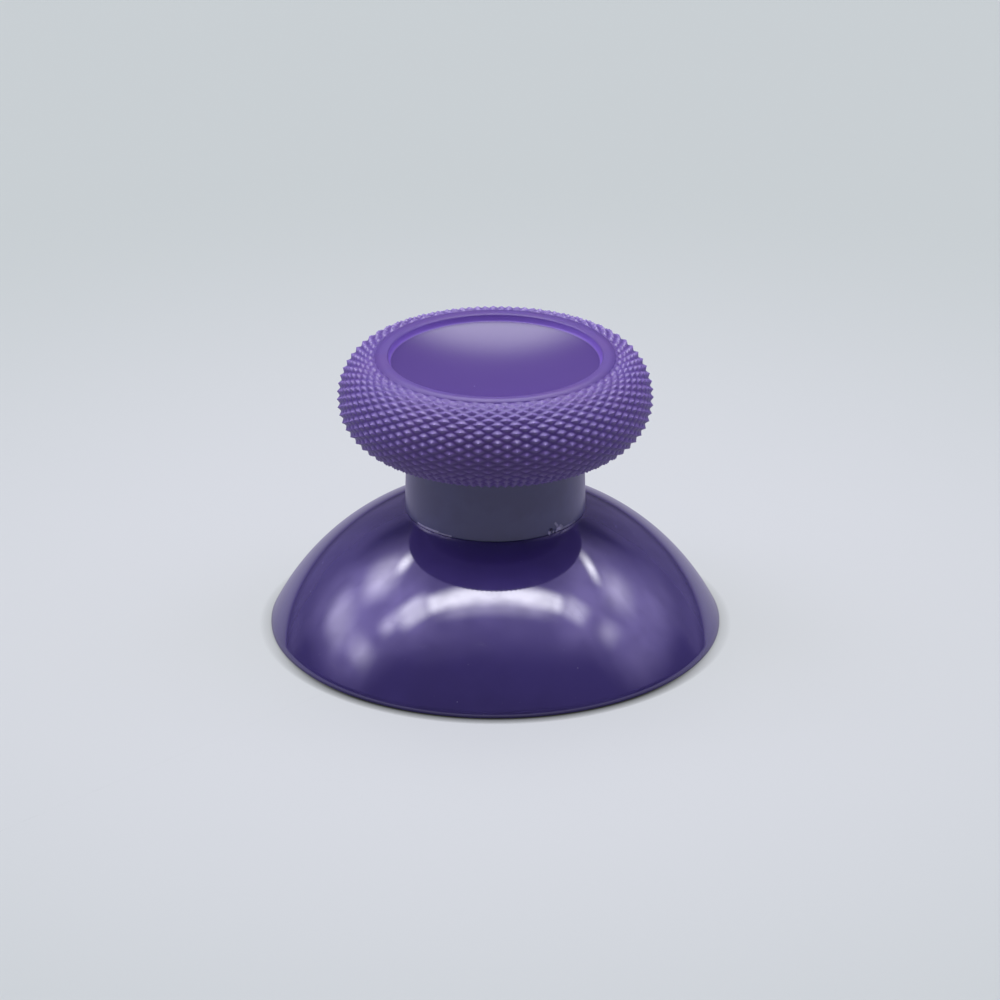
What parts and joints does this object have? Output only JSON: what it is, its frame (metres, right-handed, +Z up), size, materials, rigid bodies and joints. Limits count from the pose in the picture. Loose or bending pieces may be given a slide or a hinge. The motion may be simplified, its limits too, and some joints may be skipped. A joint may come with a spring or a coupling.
{
  "type": "controller thumb grip",
  "caption": "Thumb grip of a game controller: glossy domed base, ring sleeve, soft cap with diamond-knurled rim and stepped concave dish.",
  "frame": {"origin": "centre of the rim circle, on the surface that the dome's rim stands on", "axes": "+Z up along the axis of the stem and cap; the flats of the shaft socket face +Y and -Y"},
  "size_m": [0.026, 0.026, 0.0167],
  "materials": {
    "gloss_dome": "high-gloss deep purple moulding",
    "slate_collar": "satin slate blue-grey",
    "soft_cap": "soft satin violet, knurled rim and smooth dish"
  },
  "bodies": {
    "root": {"dome_base": "gloss_dome", "neck_collar": "slate_collar", "grip_cap": "soft_cap"}
  },
  "joints": []
}
